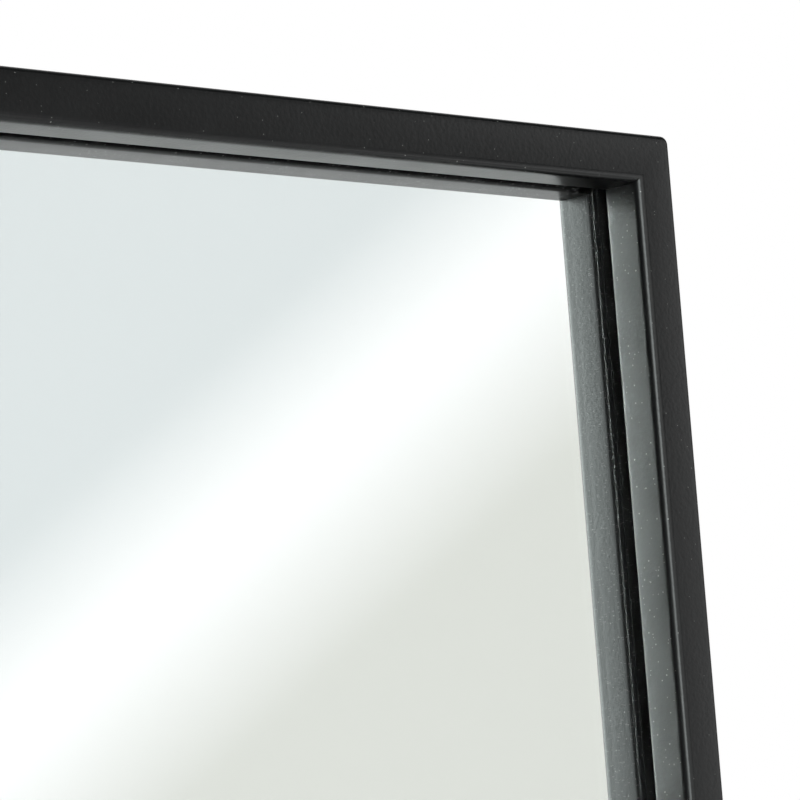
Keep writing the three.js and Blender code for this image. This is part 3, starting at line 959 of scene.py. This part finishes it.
def runs_up(a, b):
    return near(a.x, b.x) and near(a.y, b.y) and not near(a.z, b.z)


def floor_pad(side):
    """A moulded pad that steps up under the rebate bar, with a lip behind it, and has a
    grooved foot."""
    low, high = (Vector(corner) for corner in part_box(f"{side}_floor_pad"))
    pad = block(f"moulded_pad_{side}", low, high)
    round_edges(pad, runs_up, PAD_CORNER, segments=8)
    bar_front, bar_back = LOW.y + BAR_FRONT, LOW.y + BAR_FRONT + BAR_HEIGHT + GAP
    under_bar = low.z + PAD_UNDER_TUBE + BAR_INSET
    left, right, top = low.x - CLEAR, high.x + CLEAR, high.z + CLEAR
    room = (left, low.y - CLEAR, low.z + PAD_UNDER_TUBE)
    carve(pad, block("tube_room", room, (right, bar_front, top)))
    room = (left, bar_front - CLEAR, under_bar)
    carve(pad, block("bar_room", room, (right, bar_back, top)))
    bevel_piece(pad, PAD_EDGE, angle=40)
    count = int((high.y - low.y - 2 * GROOVE_MARGIN) / GROOVE_SPACING)
    first = (low.y + high.y - count * GROOVE_SPACING) / 2
    for number in range(count + 1):
        y = first + number * GROOVE_SPACING
        start = (low.x + GROOVE_MARGIN, y - GROOVE_WIDTH / 2, low.z - CLEAR)
        end = (high.x - GROOVE_MARGIN, y + GROOVE_WIDTH / 2, low.z + GROOVE_DEPTH)
        carve(pad, block("groove", start, end))
    shade(pad)
    return pad


for side in ("left", "right"):
    hand_over(floor_pad(side), RUBBER, "rubber", f"{side}_floor_pad")


# ------------------------------------------------------------------ carried-over pieces
def finish_nodes(material, *endings):
    for name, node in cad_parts.items():
        if name.endswith(endings):
            node.data.materials.clear()
            node.data.materials.append(material)


finish_nodes(TAPE, "glazing_tape")
finish_nodes(GLASS, "mirror_glass")
finish_nodes(SILVER, "silver_film")
finish_nodes(FIBREBOARD, "back_board")


# ------------------------------------------------------------------ camera
def view_axes():
    """The camera's right, up and backward directions."""
    back = Vector(
        (
            math.sin(VIEW_AZIMUTH) * math.cos(VIEW_ELEVATION),
            -math.cos(VIEW_AZIMUTH) * math.cos(VIEW_ELEVATION),
            math.sin(VIEW_ELEVATION),
        )
    )
    level_right = Vector((0, 0, 1)).cross(back).normalized()
    level_up = back.cross(level_right)
    turn = Quaternion(back, -VIEW_ROLL)
    return turn @ level_right, turn @ level_up, back


def place_camera():
    right, up, back = view_axes()
    aim = Vector((HIGH.x, LOW.y, HIGH.z)) + Vector(AIM_FROM_CORNER)
    data = bpy.data.cameras.new("camera")
    data.lens = LENS_MM
    data.sensor_width = SENSOR_MM
    data.clip_start = 0.05
    data.clip_end = 200
    camera = bpy.data.objects.new("camera", data)
    bpy.context.scene.collection.objects.link(camera)
    turned = Matrix((right, up, back)).transposed().to_4x4()
    camera.matrix_world = Matrix.Translation(aim + back * VIEW_DISTANCE) @ turned
    bpy.context.scene.camera = camera


# ------------------------------------------------------------------ studio
FLOOR_SIZE = 60.0
ONE_BOUNCE = 1.5  # a path whose depth is below this has bounced once at most

# What a look into the mirror shows. The stops run across the band, over one radian, and the
# line through BAND_PIXEL is at 0.5.
SKY, GROUND, BAND_WHITE = rgb(0.925, 0.965, 0.975), rgb(0.915, 0.92, 0.87), grey(1.28)
SKY_END, WHITE_START, WHITE_END, GROUND_START = 0.471, 0.497, 0.508, 0.54
BAND_PIXEL = (275.0, 480.0)  # a point inside the white band, in the 800 x 800 frame
BAND_NORMAL = (0.672, 0.741)  # across the band, right and down


def is_seen_in_glass(bench):
    """1 for what a look into the mirror shows, off the silver or off the front of the glass."""
    path = bench.add("ShaderNodeLightPath").outputs
    once = bench.math("LESS_THAN", path["Ray Depth"], ONE_BOUNCE)
    off_glass = bench.math("MULTIPLY", once, path["Is Singular Ray"])
    one_mirror = bench.math("LESS_THAN", path["Glossy Depth"], ONE_BOUNCE)
    off_silver = bench.math("MULTIPLY", one_mirror, path["Is Transmission Ray"])
    return bench.math("MAXIMUM", off_glass, off_silver)


def lay_floor():
    """A plain pale floor, with painted bounce light: it is paler in what the coat mirrors, and in the
    light it throws onto the frame, than to a direct look.
    """
    deselect_all()
    bpy.ops.mesh.primitive_plane_add(size=FLOOR_SIZE, location=(0, 0, 0))
    floor = finish_start(bpy.context.object, "studio_floor")
    material, bench, shader, place = new_material("pale_floor")
    mottle = bench.noise(place, 1.5, detail=3.0)
    looked_at = bench.math(
        "MAXIMUM", bench.add("ShaderNodeLightPath").outputs["Is Camera Ray"], is_seen_in_glass(bench)
    )
    pale = bench.blend(mottle, grey(0.70), grey(0.73))
    # Painted bounce light: every ray except a direct look or a look into the mirror sees a near white
    # floor, which lightens the coat's reflections and the light on the frame.
    bench.put(bench.blend(looked_at, grey(0.97), pale), shader.inputs["Base Color"])
    shader.inputs["Roughness"].default_value = 1.0
    shader.inputs["Specular IOR Level"].default_value = 0.0
    floor.data.materials.append(material)


def band_seen_in_glass(bench, toward):
    """The blurred white band that the photograph shows in the glass, between two pale tones."""
    right, up, _ = view_axes()
    flip = Vector((1, -1, 1))  # the mirror turns front to back
    across = BAND_NORMAL[0] * right * flip - BAND_NORMAL[1] * up * flip
    along = bench.add("ShaderNodeVectorMath", {0: toward}, operation="DOT_PRODUCT")
    along.inputs[1].default_value = across
    middle = PICTURE_PIXELS / 2
    offset = sum(n * (p - middle) for n, p in zip(BAND_NORMAL, BAND_PIXEL)) / PIXELS_PER_RADIAN
    share = bench.span(bench.math("SUBTRACT", along.outputs["Value"], offset), -0.5, 0.5)
    stops = [(0.0, SKY), (SKY_END, SKY), (WHITE_START, BAND_WHITE)]
    stops += [(WHITE_END, BAND_WHITE), (GROUND_START, GROUND), (1.0, GROUND)]
    return bench.ramp(share, stops)


# Each soft panel of the surround: azimuth from and to (0 is straight out of the glass and
# positive to the right), elevation from and to, soft edge, all in degrees, and its colour.
PANELS = {
    "key": ((-38, -18, 0, 15, 20), rgb(12.2, 13.2, 13.0)),
    "front": ((-14, 6, -10, 35, 8), grey(0.5)),
    "front_right": ((8, 20, -4, 22, 5), grey(3.4)),
    "right": ((50, 60, -4, 18, 4), grey(2.2)),
    "overhead": ((-180, 180, 64, 90, 8), grey(2.2)),
}
SURROUND_LEVEL = 0.05
REAR_LEVEL = 0.8
REAR_START, REAR_FULL = -0.05, 0.3  # where the surround turns to its rear level, along +Y


def light_studio():
    """A dim soft surround with large soft panels, which light the object. A look into the
    mirror shows two pale tones and a white band, and the camera itself sees plain white."""
    world = bpy.data.worlds.new("studio")
    bpy.context.scene.world = world
    world.use_nodes = True
    tree = world.node_tree
    tree.nodes.clear()
    bench = Bench(tree)
    toward = bench.add("ShaderNodeTexCoord").outputs["Generated"]
    x, y, z = bench.add("ShaderNodeSeparateXYZ", {"Vector": toward}).outputs
    ahead = bench.math("MULTIPLY", y, -1.0)
    azimuth = bench.math("DEGREES", bench.math("ARCTAN2", x, ahead))
    elevation = bench.math("DEGREES", bench.math("ARCSINE", z))

    def panel(left, right, low, high, edge):
        sides = [
            bench.span(azimuth, left - edge, left, kind="SMOOTHSTEP"),
            bench.span(azimuth, right, right + edge, 1.0, 0.0, kind="SMOOTHSTEP"),
            bench.span(elevation, low - edge, low, kind="SMOOTHSTEP"),
            bench.span(elevation, high, high + edge, 1.0, 0.0, kind="SMOOTHSTEP"),
        ]
        mask = sides[0]
        for side in sides[1:]:
            mask = bench.math("MULTIPLY", mask, side)
        return mask

    behind = bench.span(y, REAR_START, REAR_FULL)
    total = bench.blend(behind, grey(SURROUND_LEVEL), grey(REAR_LEVEL))
    for place, colour in PANELS.values():
        total = bench.blend(panel(*place), total, colour, kind="ADD")
    total = bench.blend(is_seen_in_glass(bench), total, band_seen_in_glass(bench, toward))
    lit = bench.add("ShaderNodeBackground", {"Color": total, "Strength": 1.0})
    seen = bench.add("ShaderNodeBackground", {"Color": grey(1.0), "Strength": 1.0})
    chooser = bench.add("ShaderNodeMixShader")
    bench.put(bench.add("ShaderNodeLightPath").outputs["Is Camera Ray"], chooser.inputs[0])
    bench.put(lit.outputs[0], chooser.inputs[1])
    bench.put(seen.outputs[0], chooser.inputs[2])
    end = bench.add("ShaderNodeOutputWorld")
    bench.put(chooser.outputs[0], end.inputs["Surface"])


place_camera()
lay_floor()
light_studio()
bpy.context.scene.view_settings.view_transform = "Standard"
